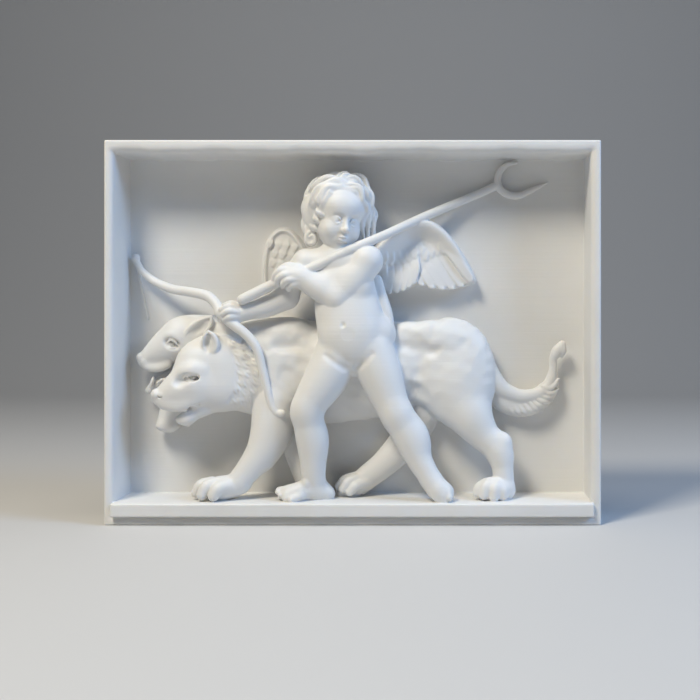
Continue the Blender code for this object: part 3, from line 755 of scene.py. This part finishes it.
def near_head(f):
    # neck under the mane
    f.tube([(285,378,6), (262,377,7), (243,374,8)], 0, [16.5,16.2,15.2], flat=.6)
    f.mound((217,371,10.6), 3, (15.6,15.7,8.8), 4)
    f.mound((196,366,13), 3, (8.6,9.6,6.4), -20)
    f.tube([(194,384,14), (181,389,15.2), (168,394.5,16.4), (159.5,395.8,16.8)], 3, [9.6,7.6,5,3.1],
        flat=.85)
    f.mound((219,391,12.2), 5, (9.6,7.6,6.2), 10)
    # muzzle lip, brow
    f.tube([(158,400,17.2), (166,405,17.8), (178,406.5,18.2), (190,403,18.2), (199,398.5,17.6)], 3,
        [1.5,2.1,2.5,2.2,1.4], .9, 4)
    f.dent((190.6,376.7,20.6), .5, (3.7,2.2,3.9), -2)
    f.dent((182,379.5,21.2), 2.4, (3.2,1.8,2.3), 34)
    f.tube([(179,374,17.2), (185,370.5,18.9), (193,368.8,19.4), (202,369.5,18.8)], 3.6, [.7,1.2,1.3,.7],
        1, 4)
    f.mound((191.2,377,17.7), .1, (2.15,1.6,2.3))
    f.tube([(182,379,18.6), (185.6,375.2,19.8), (191.5,373.4,20.5), (197.5,374.4,20.1), (202,378,18.9)],
        .15, [.4,.75,.9,.75,.35], 1, 4)
    f.tube([(184.5,378.8,18.5), (189,381,19.1), (195,381.3,19.2), (201.5,378.8,18.8)], .2, [.3,.5,.5,.3],
        1, 4)
    f.dent((190.3,377.2,20.2), .1, (.8,.8,1.5))
    # nose
    f.mound((156.6,394.6,17.9), .5, (2.3,2.5,2.5), 20)
    f.mound((161.5,395.5,19.4), .7, (1.7,1.5,1.2), 10)
    f.groove([(157.6,396.6,19.8), (160.4,397.6,20.2), (162.2,396.2,20.3)], .35, [.3,.4,.2], 1, 3)
    # mouth slit and lower jaw
    slit = draped(f, [(158,404), (163,407.6), (169,410.2), (176,411.4), (184,411.2), (191,409),
        (198.5,405.2)], [.1] * 7)
    f.carve(Limb(slit, [.7,.9,1.1,1.2,1.25,1.15,.7], 1, 3), .4)
    f.tube([(212,400,12), (203,407,14), (194.5,412.6,15), (185.5,417.4,15.6), (180,418.8,15.4)], 1,
        [5,4,2.9,2.3,1.8], flat=.85)
    f.mound((188,418.5,14.6), 1.5, (3.9,2.6,3.2), 20)
    f.tube([(186,420,15.2), (187.5,422.6,15), (189,424.6,14)], 1.2, [1.6,1.3,.7], 1, 4)
    f.dent((170.5,413.4,17), .8, (3.2,1,5), -6)
    f.groove([(176,414.2,18.6), (186,413.2,18.8), (191.5,410,18.6), (196,408,18.8)], .3,
        [1.1,1.3,1.3,.6], 1, 3)
    # small rolled ear
    f.mound((210.5,342.5,15.8), 1.4, (3.7,4.6,3.2), 8)
    f.mound((214.5,347.5,14.6), 2, (3,3.6,3), 20)
    f.tube([(203.6,350,16.8), (202.8,342.5,18), (205.4,335,18.6), (208.4,331.4,18.6)], .4,
        [.5,.65,.7,.55], 1, 4)
    f.tube([(208.4,331.4,18.6), (213.6,335.4,18.6), (216.6,342.5,18.2), (215.2,350,17.8),
        (210.5,354,17.4)], .4, [.55,.9,1.15,1.2,.7], 1, 4)
    f.groove([(207.2,350,19.2), (207.6,344,18.8), (208.6,337,18.6)], .35, [1.5,1.9,1], 1, 4)
    f.tube([(211.8,349,17.2), (211.6,343.5,17.4), (209.8,339.5,17)], .4, [.7,.6,.3], 1, 3)
    # mane: comma locks behind the cheek, laid on the neck
    f.carve(Limb(draped(f, [(233,350), (237.5,362), (239,376), (237,390), (231,402)], [.1,.1,.1,.1,.1]),
        [.4,.7,.8,.6,.4], 1, 4), 1.6)
    for row in range(7):
        for col in range(3):
            bend = sin(row * 2.3 + col * 1.7)
            px = 232 + 7.5 * sin(pi * (row + .6) / 7) + 7.4 * col + .8 * bend
            py = 346 + 9.0 * row + 3.0 * (col % 2)
            turn = radians(-32 - 8 * row + 12 * bend)
            dx, dy = cos(turn) * 7.6, -sin(turn) * 7.6
            flat = [(px - dx, py - dy), (px - .3 * dx - .5, py - .3 * dy + .4),
                (px + .4 * dx + .5, py + .4 * dy - .3), (px + dx, py + dy)]
            path = draped(f, flat, [-.7,-.05,-.1,-.8])
            strands(f, path, 1.3, .72, 3, .4, .2, .1, .6)

def far_head(f):
    f.mound((191,338,5), 0, (11.2,9.6,6), 20)
    f.tube([(215,338,4.5), (238,342,4)], 3, [9.8,10.6], flat=.7)
    f.tube([(181,338,6), (166,347,6.5), (150,356,6.7), (143,358,6.7)], 2, [8.7,6.8,3.9,2.5], flat=.8)
    f.mound((140.5,357,7.4), .6, (1.7,1.7,1.9), 30)
    f.mound((144,360.5,8.6), .5, (1.4,1.1,.9))
    f.dent((141,361.3,9), .3, (.6,.5,.7))
    f.tube([(143,363,7.2), (149,367.5,8), (159,368,8.6), (168,365,8.6)], 2.5, [1.2,1.6,1.7,1.4], .9, 4)
    # eye
    f.dent((171.5,343.5,12.5), .9, (3.6,2.5,2.2), -25)
    f.mound((171.3,343.8,9.3), .15, (1.75,1.65,2.1))
    f.tube([(167.2,344,11.2), (168.6,341.2,11.6), (171.4,339.9,11.9), (174.6,341.6,11.9),
        (177.6,344.8,11.5), (180,347.5,11.1)], .4, [.3,.45,.5,.5,.4,.25], 1, 3)
    f.tube([(167.4,345.8,11.1), (169.6,347.3,11.4), (172.6,347.9,11.5), (176,347.6,11.3)], .5,
        [.25,.4,.4,.25], 1, 3)
    f.tube([(163,339,10), (170,334.5,11), (179,337,11.4)], 1.5, [.8,1.3,1], 1, 4)
    # open mouth: dark slot, lower jaw, teeth
    f.groove([(143,369,9.6), (150,374.5,10), (160,376,10.4), (170,373,10.4)], .4, [.7,1.3,1.5,1.2], 1, 4)
    f.tube([(176,376,4), (163,381,4.4), (154,386,4.8), (148.5,390.5,5.2)], 1, [3.4,2.7,2.1,1.4], flat=.8)
    f.tube([(153.5,377.5,7.2), (152.2,381.5,7.8), (150.8,386.5,7.4)], .6, [.5,.8,.8], 1, 3)
    f.tube([(158,383,7.2), (162,380,7.6), (168,379,7.4)], .3, [.5,.8,.6], 1, 3)
    # pricked ear, hollow in front
    f.mound((199,328.5,10), .9, (7.4,3.6,2.4), 41)
    f.tube([(184.5,341,11), (187,331.5,12), (197,322,12.3), (211.5,316.5,11.6)], .5, [.7,.8,.8,.5], 1, 4)
    f.tube([(211.5,316.5,11.6), (210.5,325,12), (204,334,11.6)], .5, [.5,.7,.5], 1, 4)
    f.dent((199.5,329,13), .6, (5.4,2.1,1.7), 41)

def third_head(f):
    f.tube([(184,388,3.2), (175,406,3.8), (169.5,420,4.2)], 0, [6.2,5.7,4.8], flat=.8)
    f.mound((168,425.5,5), 2, (5,2.4,3.4), 4)
    f.groove([(155,424.5,8), (163,427.6,9.4), (172,427.6,9.6), (181,423.5,8.8)], 1.2, [.25,.35,.35,.25],
        1, 4)

def tail(f):
    f.join(Limb(mm([(467,347,7.5), (480.6,360,7), (492,377,6.4), (503,389,6), (518,395.5,5.8),
        (532,395.4,5.6), (543.5,390.5,5.4), (550.5,380,5.2), (553,368,5.2), (553.2,359,5.4),
        (557,351.5,5.6), (562,344.5,5.6)]),
                [5.4,4.8,3.9,3.3,2.8,2.7,2.5,2.2,1.7,1.7,2.3,1.7], flat=.85), 0)
    f.join(Limb(mm([(562,345,5.8), (563,351,5.8), (561.5,357,5.4)]), [1.5,1.5,.5], .9, 3), .5)
    f.join(Limb(mm([(494,388,3), (503,399,3), (518,405,3.1), (533,402.5,3.1), (546,392,3.1),
        (552.5,383,3.2)]), [4.2,5.2,4.9,4.8,4.3,2.8], .75, 4), 1.2)
    # a fringe of locks towards the tip
    for a, b, c in [
            ((542,386,6.6),(551,388,6.6),(558.5,379,5.6)), ((541,391,6.6),(551,393,6.4),(558,389,5.2)),
            ((538,394.5,6.6),(547,397.5,6.4),(554,395.5,5.2)),
            ((535,397.5,6.8),(543,401.5,6.6),(551.5,401,5.2)),
            ((533,401,6.8),(539,405.5,6.6),(547,405.5,5)), ((530,403,6.8),(535.5,408.5,6.4),
            (542.5,410,4.8)),
            ((525,405,6.6),(530,410.5,6.2),(537,412.5,4.6)), ((520,406,6.4),(524,411.5,6),
            (531,414.5,4.4)), ((514,406,6.2),(518,411.5,5.8),(525,415.5,4.2)),
            ((508,405,5.8),(512,410.5,5.4),(518,416,4))]:
        f.tube([a, b, c], .4, [.6,1.15,.6], 1, 4)

# each part, its blend with what is there already, and its box in mm
PARTS = (
    (far_wing, .8, (-46,84,-3), (-16,128,8)),
    (wings, .3, (0,84,-3), (56,130,18)),
    (tail, .5, (40,36,-3), (92,82,14)),
    (far_head, .5, (-94,44,-3), (-30,96,18)),
    (third_head, .5, (-88,28,-3), (-56,66,14)),
    (trunk, .5, (-62,3,-3), (78,92,24)),
    (near_head, .35, (-86,30,-3), (-20,88,24)),
    (paws, .8, (-72,3,-3), (72,34,26)),
    (putto, .4, (-36,50,-1), (34,128,26.5)),
    (legs, .9, (-42,3,3), (50,84,26.5)),
    (quiver, .2, (0,66,3), (24,104,20)),
    (arms, .4, (-60,60,3), (20,118,26.5)),
    (gear, .25, (-100,30,-2), (90,150,26)),
    (head, .4, (-24,96,0), (14,150,26.5)),
)

# ---- the whole relief
# mm, heights counted from the ground
HALF, TALL = 100, 155
BACK, FRAME_FRONT, LEDGE_FRONT = -4, 23.3, 26
MOUTH_LOW, MOUTH_HIGH = (-96.3, 3.6), (96, 150)
LEDGE_TOP, LEDGE_HALF = 9.1, 97
GROUND_Y = 11.0  # the ground's place in the row frame

def relief(step):
    pad = 2 * step
    whole = Field((-HALF - pad, -pad, BACK - pad), (HALF + pad, TALL + pad, LEDGE_FRONT + pad), step)
    whole.join(Block((-HALF - 10, -10, -20), (HALF + 10, TALL + 10, 0)))
    for build, blend, a, b in PARTS:
        a = [whole.low[i] + step * round((a[i] - whole.low[i]) / step) for i in range(3)]
        part = Field(a, b, step)
        build(part)
        whole.merge(part, blend)
    # the frame is a box with a soft-edged mouth; its top edge waves a little
    c = whole.grid()
    wave = .22 * np.sin(c[0] * .16 + .8) + .15 * np.sin(c[0] * .37) + .08 * np.sin(c[0] * .9)
    waved = c[1] + np.where(c[1] > 75, wave, 0)
    mouth = -Block((*MOUTH_LOW, -30), (*MOUTH_HIGH, 60)).dist(c[0], waved, c[2])
    bars = Block((-HALF, 0, BACK), (HALF, TALL, FRAME_FRONT), .5).dist(*c)
    soft = 3.2
    h = np.maximum(soft - np.abs(bars - mouth), 0) / soft
    bars = np.maximum(bars, mouth) + h * h * (soft * .25)
    whole.d = np.minimum(whole.d, bars.astype(np.float32))
    uneven = .12 * np.sin(c[0] * .21 + 1) + .08 * np.sin(c[0] * .55)
    ledge = Block((-LEDGE_HALF, MOUTH_LOW[1], -2), (LEDGE_HALF, LEDGE_TOP, LEDGE_FRONT - .2), .7)
    ledge = ledge.dist(c[0], c[1], c[2] + uneven)
    whole.d = np.minimum(whole.d, ledge.astype(np.float32))
    limit = Block((-HALF, 0, BACK), (HALF, TALL, LEDGE_FRONT), .5).dist(*c)
    whole.d = np.maximum(whole.d, limit.astype(np.float32))
    return whole

CLEAR = 1e-6  # metres kept from the sides of the CAD box

def skin(field):
    """Surface nets: one vertex in every cell that the surface crosses."""
    d, n = field.d, field.size
    cells = (n[0] - 1, n[1] - 1, n[2] - 1)
    solid = d < 0
    keys, places, quads = [], [], []
    for axis in range(3):
        a = [slice(None)] * 3
        b = [slice(None)] * 3
        a[axis], b[axis] = slice(0, -1), slice(1, None)
        a, b = tuple(a), tuple(b)
        flip = solid[a] != solid[b]
        u, v = (axis + 1) % 3, (axis + 2) % 3
        i = np.argwhere(flip)
        keep = (i[:, u] > 0) & (i[:, u] < n[u] - 1) & (i[:, v] > 0) & (i[:, v] < n[v] - 1)
        i = i[keep]
        da, db = d[a][tuple(i.T)], d[b][tuple(i.T)]
        spot = i.astype(np.float64)
        spot[:, axis] += da / (da - db)
        corners = []
        for ou, ov in ((-1, -1), (0, -1), (0, 0), (-1, 0)):
            c = i.copy()
            c[:, u] += ou
            c[:, v] += ov
            key = (c[:, 0] * cells[1] + c[:, 1]) * cells[2] + c[:, 2]
            corners.append(key)
            keys.append(key)
            places.append(spot)
        q = np.stack(corners, 1)
        turn = da > 0
        q[turn] = q[turn][:, ::-1]
        quads.append(q)
    keys, places, quads = np.concatenate(keys), np.concatenate(places), np.concatenate(quads)
    used, back = np.unique(keys, return_inverse=True)
    count = np.bincount(back).astype(float)
    spots = np.stack([np.bincount(back, places[:, k]) / count for k in range(3)], 1)
    spots = spots * field.step + field.low
    quads = np.searchsorted(used, quads.ravel()).reshape(-1, 4)
    # x, z and height above the ground become the row frame's metres
    verts = np.stack([spots[:, 0], GROUND_Y - spots[:, 2], spots[:, 1]], 1) * .001
    return np.clip(verts, np.array(low) + CLEAR, np.array(high) - CLEAR), quads

def show(o):
    bpy.context.scene.collection.objects.link(o)

def mesh_from(name, verts, quads):
    mesh = bpy.data.meshes.new(name)
    mesh.vertices.add(len(verts))
    mesh.vertices.foreach_set("co", verts.astype(np.float32).ravel())
    mesh.loops.add(quads.size)
    mesh.loops.foreach_set("vertex_index", quads.astype(np.int32).ravel())
    mesh.polygons.add(len(quads))
    mesh.polygons.foreach_set("loop_start", np.arange(0, quads.size, 4, dtype=np.int32))
    mesh.update(calc_edges=True)
    mesh.validate()
    return mesh

def cast_material():
    """White resin: soft mottling, faint horizontal layer lines and a fine grain."""
    m = bpy.data.materials.new("white_cast")
    m.use_nodes = True
    nt = m.node_tree
    bsdf = nt.nodes["Principled BSDF"]
    bsdf.inputs["Subsurface Weight"].default_value = .2
    bsdf.inputs["Subsurface Radius"].default_value = (1.0, .75, .5)
    bsdf.inputs["Subsurface Scale"].default_value = .0014
    bsdf.inputs["IOR"].default_value = 1.5

    def node(kind, values, **links):
        made = nt.nodes.new("ShaderNode" + kind)
        for name, value in values.items():
            made.inputs[name].default_value = value
        for name, socket in links.items():
            nt.links.new(socket, made.inputs[name])
        return made

    place = node("TexCoord", {}).outputs["Object"]
    noise = node("TexNoise", {"Scale": 26, "Detail": 5}, Vector=place).outputs["Fac"]
    tone = node("ValToRGB", {}, Fac=noise)
    dark, light = tone.color_ramp.elements
    dark.position, light.position = .3, .7
    dark.color, light.color = (.73, .725, .71, 1), (.78, .775, .765, 1)
    nt.links.new(tone.outputs["Color"], bsdf.inputs["Base Color"])
    rough = node("MapRange", {"To Min": .46, "To Max": .6}, Value=noise)
    nt.links.new(rough.outputs["Result"], bsdf.inputs["Roughness"])
    stretch = node("Mapping", {"Scale": (18, 18, 900)}, Vector=place).outputs["Vector"]
    layers = node("TexNoise", {"Scale": 1, "Detail": 2}, Vector=stretch).outputs["Fac"]
    grain = node("TexNoise", {"Scale": 900, "Detail": 3}, Vector=place).outputs["Fac"]
    lines = node("Bump", {"Strength": .5, "Distance": .00012}, Height=layers).outputs["Normal"]
    fine = node("Bump", {"Strength": .3, "Distance": .00006}, Height=grain, Normal=lines)
    nt.links.new(fine.outputs["Normal"], bsdf.inputs["Normal"])
    return m

def drop_specks(mesh):
    """Leaves the one big shell: the small closed bubbles inside the figures go."""
    bm = bmesh.new()
    bm.from_mesh(mesh)
    todo, shells = set(bm.verts), []
    while todo:
        shell = [todo.pop()]
        for vert in shell:  # the list grows while it is read
            near = {edge.other_vert(vert) for edge in vert.link_edges} & todo
            todo -= near
            shell.extend(near)
        shells.append(shell)
    shells.sort(key=len)
    bmesh.ops.delete(bm, geom=[v for shell in shells[:-1] for v in shell], context="VERTS")
    bm.to_mesh(mesh)
    bm.free()

def make_cast():
    """The one visible piece, thinned to the face limit and shaded smooth."""
    step = FINE_STEP
    verts, quads = skin(relief(step))
    raw = bpy.data.objects.new("raw", mesh_from("raw", verts, quads))
    show(raw)
    count = 2 * len(quads)
    if count > FACE_LIMIT:
        thin = raw.modifiers.new("thin", "DECIMATE")
        thin.ratio = FACE_LIMIT / count
    graph = bpy.context.evaluated_depsgraph_get()
    mesh = bpy.data.meshes.new_from_object(raw.evaluated_get(graph))
    bpy.data.objects.remove(raw)
    drop_specks(mesh)
    piece = bpy.data.objects.new("relief_cast", mesh)
    show(piece)
    for p in mesh.polygons:
        p.use_smooth = True
    mesh.set_sharp_from_angle(angle=radians(SHARP))
    weigh = piece.modifiers.new("weigh", "WEIGHTED_NORMAL")
    weigh.keep_sharp = True
    mesh.materials.append(cast_material())
    print("faces", len(mesh.polygons), "from", count)
    return piece

FACE_LIMIT = 195000
SHARP = 50  # degrees
FINE_STEP, COARSE_STEP = .36, .7  # mm between the grid's points

piece = make_cast()
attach(piece, "root")
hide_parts("relief")

# ---- floor, light and camera
FLOOR_COLOUR = (.62, .61, .60)

def plain(name, colour, rough=.7):
    m = bpy.data.materials.new(name)
    m.use_nodes = True
    bsdf = m.node_tree.nodes["Principled BSDF"]
    bsdf.inputs["Base Color"].default_value = (*colour, 1)
    bsdf.inputs["Roughness"].default_value = rough
    return m

def sweep(half_width, front, back, bend, high):
    """A floor that curves up into a plain wall behind the relief."""
    rows = [(-front, .0)]
    for i in range(25):
        a = radians(90 * i / 24)
        rows.append((back + bend * sin(a), bend * (1 - cos(a))))
    rows.append((back + bend, high))
    verts = [(x, y, z) for y, z in rows for x in (-half_width, half_width)]
    faces = [(2 * i, 2 * i + 1, 2 * i + 3, 2 * i + 2) for i in range(len(rows) - 1)]
    mesh = bpy.data.meshes.new("floor")
    mesh.from_pydata(verts, [], faces)
    for face in mesh.polygons:
        face.use_smooth = True
    return bpy.data.objects.new("floor", mesh)

floor = sweep(half_width=4.0, front=3.0, back=.6, bend=.5, high=3.0)
show(floor)
floor.data.materials.append(plain("floor_pale", FLOOR_COLOUR))

world = bpy.data.worlds.new("studio")
bpy.context.scene.world = world
world.use_nodes = True
sky = world.node_tree.nodes["Background"]
sky.inputs["Color"].default_value = (.55, .66, .88, 1)
sky.inputs["Strength"].default_value = .04
bpy.context.scene.view_settings.view_transform = "Standard"

AIM_HEIGHT, LAMP_AWAY = .075, .85  # metres

def studio_lamp(name, turn, lift, size, power, colour):
    """A square light aimed at the relief, turned from its front and lifted, in degrees."""
    a, e = radians(turn), radians(lift)
    aim = Vector((0, 0, AIM_HEIGHT))
    place = aim + Vector((sin(a) * cos(e), -cos(a) * cos(e), sin(e))) * LAMP_AWAY
    light = bpy.data.lights.new(name, "AREA")
    light.shape, light.size, light.energy, light.color = "SQUARE", size, power, colour
    o = bpy.data.objects.new(name, light)
    show(o)
    o.location = place
    o.rotation_euler = (aim - place).to_track_quat("-Z", "Y").to_euler()

studio_lamp("key", -32, 50, .22, 5.6, (1, .93, .78))
studio_lamp("front", 0, 80, .3, 1.7, (1, .97, .90))
studio_lamp("cool", 66, 32, .3, 3.9, (.36, .60, 1))

PHOTO = 700  # the photo's side in pixels
data = bpy.data.cameras.new("camera")
camera = bpy.data.objects.new("camera", data)
show(camera)
# metres: SPOT_X and SPOT_Z, and RANGE in front of the relief's ground
camera.location = (.0392, -.4473, .0886)
camera.rotation_euler = (radians(90), 0, 0)
data.sensor_width = 36
data.lens = 36 * FOCAL / PHOTO
data.shift_x = (PHOTO / 2 - SPOT_PX) / PHOTO
data.shift_y = (SPOT_PY - PHOTO / 2) / PHOTO
data.clip_start = .01
bpy.context.scene.camera = camera
